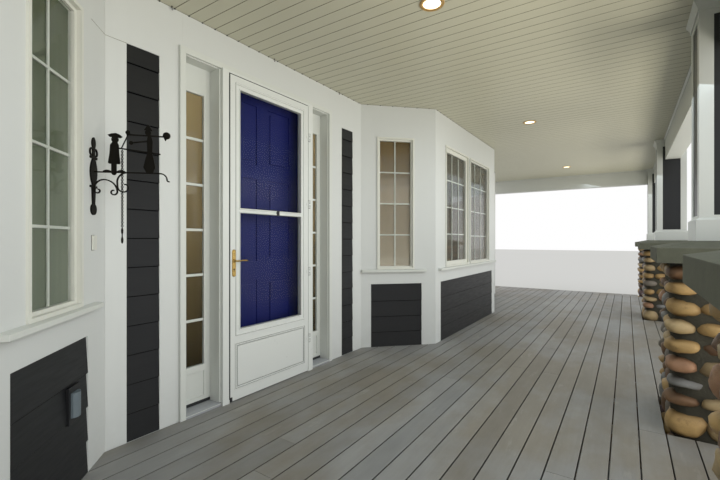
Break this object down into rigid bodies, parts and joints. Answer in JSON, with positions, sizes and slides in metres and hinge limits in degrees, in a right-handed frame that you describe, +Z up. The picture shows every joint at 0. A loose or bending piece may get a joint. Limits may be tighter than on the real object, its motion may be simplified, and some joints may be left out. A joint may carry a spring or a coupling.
{
  "type": "front porch",
  "caption": "Covered front porch along a house wall with bay windows, a glazed storm door, box columns on cobble piers, a board deck and a low hipped roof.",
  "frame": {"origin": "centre of the bounding box at ground level", "axes": "+X along the house wall, +Y into the house, +Z up"},
  "size_m": [17.91, 4.125, 4.4008],
  "materials": {
    "deck_paint": "worn grey painted boards",
    "framing": "bare sawn timber",
    "trim_paint": "satin off-white paint",
    "siding_paint": "satin charcoal paint on lapped boards",
    "panel_paint": "satin near-black paint",
    "window_vinyl": "smooth white vinyl",
    "door_metal": "white baked enamel",
    "glazing": "clear float glass",
    "blue_paint": "satin deep blue paint",
    "brass": "polished brass",
    "threshold_metal": "mill finish",
    "floor_wood": "plain boards",
    "ceiling_paint": "satin off-white beadboard",
    "lamp": "white trim ring with frosted lens",
    "cobble": "rounded river stones in grey mortar",
    "concrete": "cast concrete, slightly rough",
    "shingle": "asphalt shingles",
    "iron": "black wrought iron",
    "lens": "frosted plastic"
  },
  "bodies": {
    "root": {"deck_floor": "deck_paint", "deck_frame": "framing", "wall_left": "trim_paint", "wall_right": "trim_paint", "wall_over_entry": "trim_paint", "bay_side_walls": "trim_paint", "bay_front_walls": "trim_paint", "end_walls": "trim_paint", "upper_wall": "trim_paint", "room_floors": "floor_wood", "bay_side_frames": "window_vinyl", "bay_side_glass": "glazing", "bay_front_frames": "window_vinyl", "bay_front_glass": "glazing", "window_sills": "trim_paint", "siding_strips": "siding_paint", "bay_panels": "siding_paint", "entry_casing": "trim_paint", "entry_posts": "trim_paint", "entry_head": "trim_paint", "sidelight_frames": "trim_paint", "sidelight_glass": "glazing", "threshold": "threshold_metal", "storm_frame": "door_metal", "storm_hinges": "door_metal", "entry_hinges": "brass", "ceiling": "ceiling_paint", "downlights": "lamp", "front_beams": "trim_paint", "side_beams": "trim_paint", "columns": "trim_paint", "column_panels": "panel_paint", "column_trim": "trim_paint", "piers": "cobble", "pier_caps": "concrete", "roof": "shingle", "fascia": "trim_paint", "soffit": "trim_paint", "bell_bracket": "iron", "bell_pull": "iron", "step_light": "panel_paint", "step_lens": "lens", "doorbell": "window_vinyl"},
    "storm_door": {"storm_door": "door_metal", "storm_glass": "glazing", "storm_plate": "brass"},
    "storm_lever": {"storm_lever": "brass"},
    "entry_door": {"entry_door": "blue_paint", "entry_knobs": "brass"}
  },
  "joints": [
    {"name": "storm_hinge", "type": "hinge", "parent": "root", "child": "storm_door", "pos_m": [0.3905, 1.417, 1.45], "axis": [0, 0, 1], "range_deg": [0, 95]},
    {"name": "storm_lever_turn", "type": "hinge", "parent": "storm_door", "child": "storm_lever", "pos_m": [-0.464, 1.4162, 1.27], "axis": [0, 1, 0], "range_deg": [0, 30], "stiffness_Nm_per_rad": 1.5, "springref_deg": -20.05},
    {"name": "entry_hinge", "type": "hinge", "parent": "root", "child": "entry_door", "pos_m": [0.4, 1.6135, 1.45], "axis": [0, 0, -1], "range_deg": [0, 90]}
  ]
}
